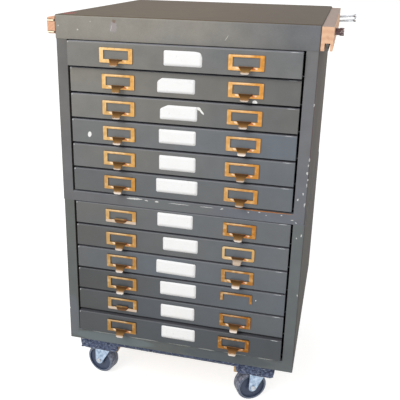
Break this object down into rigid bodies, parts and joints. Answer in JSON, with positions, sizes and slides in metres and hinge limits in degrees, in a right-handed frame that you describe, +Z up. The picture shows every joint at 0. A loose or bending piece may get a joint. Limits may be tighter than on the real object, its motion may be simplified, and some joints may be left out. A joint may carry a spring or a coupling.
{
  "type": "multi-drawer filing cabinet",
  "caption": "Two stacked steel sections of shallow drawers with brass label-holder pulls, a steel cap with wooden side rails, and a carpeted dolly on swivel casters.",
  "frame": {"origin": "on the floor under the middle of the whole object's box", "axes": "+Z up; the drawers face -Y and open towards -Y; +X is to the right of someone facing the drawers"},
  "size_m": [0.5276, 0.4998, 0.771],
  "materials": {
    "carcass_enamel": "semi-gloss enamel, worn at the edges",
    "drawer_enamel": "semi-gloss enamel",
    "runner_steel": "thin enamel, rubbed bright by the trays",
    "pull_brass": "lacquered brass, darkened on the tongues",
    "rail_wood": "oiled pale wood",
    "strip_steel": "plain bright strip",
    "strip_brass": "dull brass strip",
    "peg_steel": "zinc plated",
    "knob_plastic": "dark moulded plastic",
    "screw_steel": "zinc plated",
    "board_wood": "bare plywood",
    "carpet": "short dense pile",
    "caster_steel": "zinc plated pressings",
    "wheel_rubber": "hard rubber"
  },
  "bodies": {
    "cabinet": {"lower_side_right": "carcass_enamel", "lower_side_left": "carcass_enamel", "lower_base": "carcass_enamel", "lower_back": "carcass_enamel", "lower_runners": "runner_steel", "upper_side_right": "carcass_enamel", "upper_side_left": "carcass_enamel", "upper_base": "carcass_enamel", "upper_back": "carcass_enamel", "upper_runners": "runner_steel", "section_bolts": "screw_steel", "top_cap": "carcass_enamel", "rail_right": "rail_wood", "rail_right_strip": "strip_steel", "rail_left": "rail_wood", "rail_left_strips": "strip_brass", "rail_screws": "screw_steel", "peg_bolts": "peg_steel", "dolly_deck": "board_wood", "dolly_battens": "board_wood", "dolly_carpet": "carpet", "dolly_screws": "screw_steel", "caster_plates": "caster_steel"},
    "drawer_01": {"drawer_01": "drawer_enamel", "pulls_01": "pull_brass"},
    "drawer_02": {"drawer_02": "drawer_enamel", "pulls_02": "pull_brass"},
    "drawer_03": {"drawer_03": "drawer_enamel", "pulls_03": "pull_brass"},
    "drawer_04": {"drawer_04": "drawer_enamel", "pulls_04": "pull_brass"},
    "drawer_05": {"drawer_05": "drawer_enamel", "pulls_05": "pull_brass"},
    "drawer_06": {"drawer_06": "drawer_enamel", "pulls_06": "pull_brass"},
    "drawer_07": {"drawer_07": "drawer_enamel", "pulls_07": "pull_brass"},
    "drawer_08": {"drawer_08": "drawer_enamel", "pulls_08": "pull_brass"},
    "drawer_09": {"drawer_09": "drawer_enamel", "pulls_09": "pull_brass"},
    "drawer_10": {"drawer_10": "drawer_enamel", "pulls_10": "pull_brass"},
    "drawer_11": {"drawer_11": "drawer_enamel", "pulls_11": "pull_brass"},
    "drawer_12": {"drawer_12": "drawer_enamel", "pulls_12": "pull_brass"},
    "swivel_front_left": {"fork_front_left": "caster_steel", "axle_front_left": "screw_steel"},
    "wheel_front_left": {"wheel_front_left": "wheel_rubber"},
    "swivel_front_right": {"fork_front_right": "caster_steel", "axle_front_right": "screw_steel"},
    "wheel_front_right": {"wheel_front_right": "wheel_rubber"},
    "swivel_rear_left": {"fork_rear_left": "caster_steel", "axle_rear_left": "screw_steel"},
    "wheel_rear_left": {"wheel_rear_left": "wheel_rubber"},
    "swivel_rear_right": {"fork_rear_right": "caster_steel", "axle_rear_right": "screw_steel"},
    "wheel_rear_right": {"wheel_rear_right": "wheel_rubber"},
    "knob": {"knob": "knob_plastic"}
  },
  "joints": [
    {"name": "drawer_01_slide", "type": "slide", "parent": "cabinet", "child": "drawer_01", "axis": [0, -1, 0], "range_m": [-0.009, 0.351]},
    {"name": "drawer_02_slide", "type": "slide", "parent": "cabinet", "child": "drawer_02", "axis": [0, -1, 0], "range_m": [0, 0.36]},
    {"name": "drawer_03_slide", "type": "slide", "parent": "cabinet", "child": "drawer_03", "axis": [0, -1, 0], "range_m": [0, 0.36]},
    {"name": "drawer_04_slide", "type": "slide", "parent": "cabinet", "child": "drawer_04", "axis": [0, -1, 0], "range_m": [0, 0.36]},
    {"name": "drawer_05_slide", "type": "slide", "parent": "cabinet", "child": "drawer_05", "axis": [0, -1, 0], "range_m": [0, 0.36]},
    {"name": "drawer_06_slide", "type": "slide", "parent": "cabinet", "child": "drawer_06", "axis": [0, -1, 0], "range_m": [0, 0.36]},
    {"name": "drawer_07_slide", "type": "slide", "parent": "cabinet", "child": "drawer_07", "axis": [0, -1, 0], "range_m": [0, 0.36]},
    {"name": "drawer_08_slide", "type": "slide", "parent": "cabinet", "child": "drawer_08", "axis": [0, -1, 0], "range_m": [0, 0.36]},
    {"name": "drawer_09_slide", "type": "slide", "parent": "cabinet", "child": "drawer_09", "axis": [0, -1, 0], "range_m": [0, 0.36]},
    {"name": "drawer_10_slide", "type": "slide", "parent": "cabinet", "child": "drawer_10", "axis": [0, -1, 0], "range_m": [0, 0.36]},
    {"name": "drawer_11_slide", "type": "slide", "parent": "cabinet", "child": "drawer_11", "axis": [0, -1, 0], "range_m": [0, 0.36]},
    {"name": "drawer_12_slide", "type": "slide", "parent": "cabinet", "child": "drawer_12", "axis": [0, -1, 0], "range_m": [-0.006, 0.354]},
    {"name": "swivel_front_left_turn", "type": "hinge", "parent": "cabinet", "child": "swivel_front_left", "pos_m": [-0.19056, -0.1529, 0.08], "axis": [0, 0, 1], "continuous": true},
    {"name": "wheel_front_left_roll", "type": "hinge", "parent": "swivel_front_left", "child": "wheel_front_left", "pos_m": [-0.20608, -0.14903, 0.03175], "axis": [0.2419, 0.9703, 0], "continuous": true},
    {"name": "swivel_front_right_turn", "type": "hinge", "parent": "cabinet", "child": "swivel_front_right", "pos_m": [0.13544, -0.1469, 0.08], "axis": [0, 0, 1], "continuous": true},
    {"name": "wheel_front_right_roll", "type": "hinge", "parent": "swivel_front_right", "child": "wheel_front_right", "pos_m": [0.12145, -0.15466, 0.03175], "axis": [-0.4848, 0.8746, 0], "continuous": true},
    {"name": "swivel_rear_left_turn", "type": "hinge", "parent": "cabinet", "child": "swivel_rear_left", "pos_m": [-0.19556, 0.1641, 0.08], "axis": [0, 0, 1], "continuous": true},
    {"name": "wheel_rear_left_roll", "type": "hinge", "parent": "swivel_rear_left", "child": "wheel_rear_left", "pos_m": [-0.20781, 0.15382, 0.03175], "axis": [-0.6428, 0.766, 0], "continuous": true},
    {"name": "swivel_rear_right_turn", "type": "hinge", "parent": "cabinet", "child": "swivel_rear_right", "pos_m": [0.13244, 0.1661, 0.08], "axis": [0, 0, 1], "continuous": true},
    {"name": "wheel_rear_right_roll", "type": "hinge", "parent": "swivel_rear_right", "child": "wheel_rear_right", "pos_m": [0.11794, 0.17286, 0.03175], "axis": [0.4226, 0.9063, 0], "continuous": true},
    {"name": "knob_turn", "type": "hinge", "parent": "cabinet", "child": "knob", "pos_m": [0.22774, -0.1539, 0.7549], "axis": [1, 0, 0], "continuous": true}
  ]
}
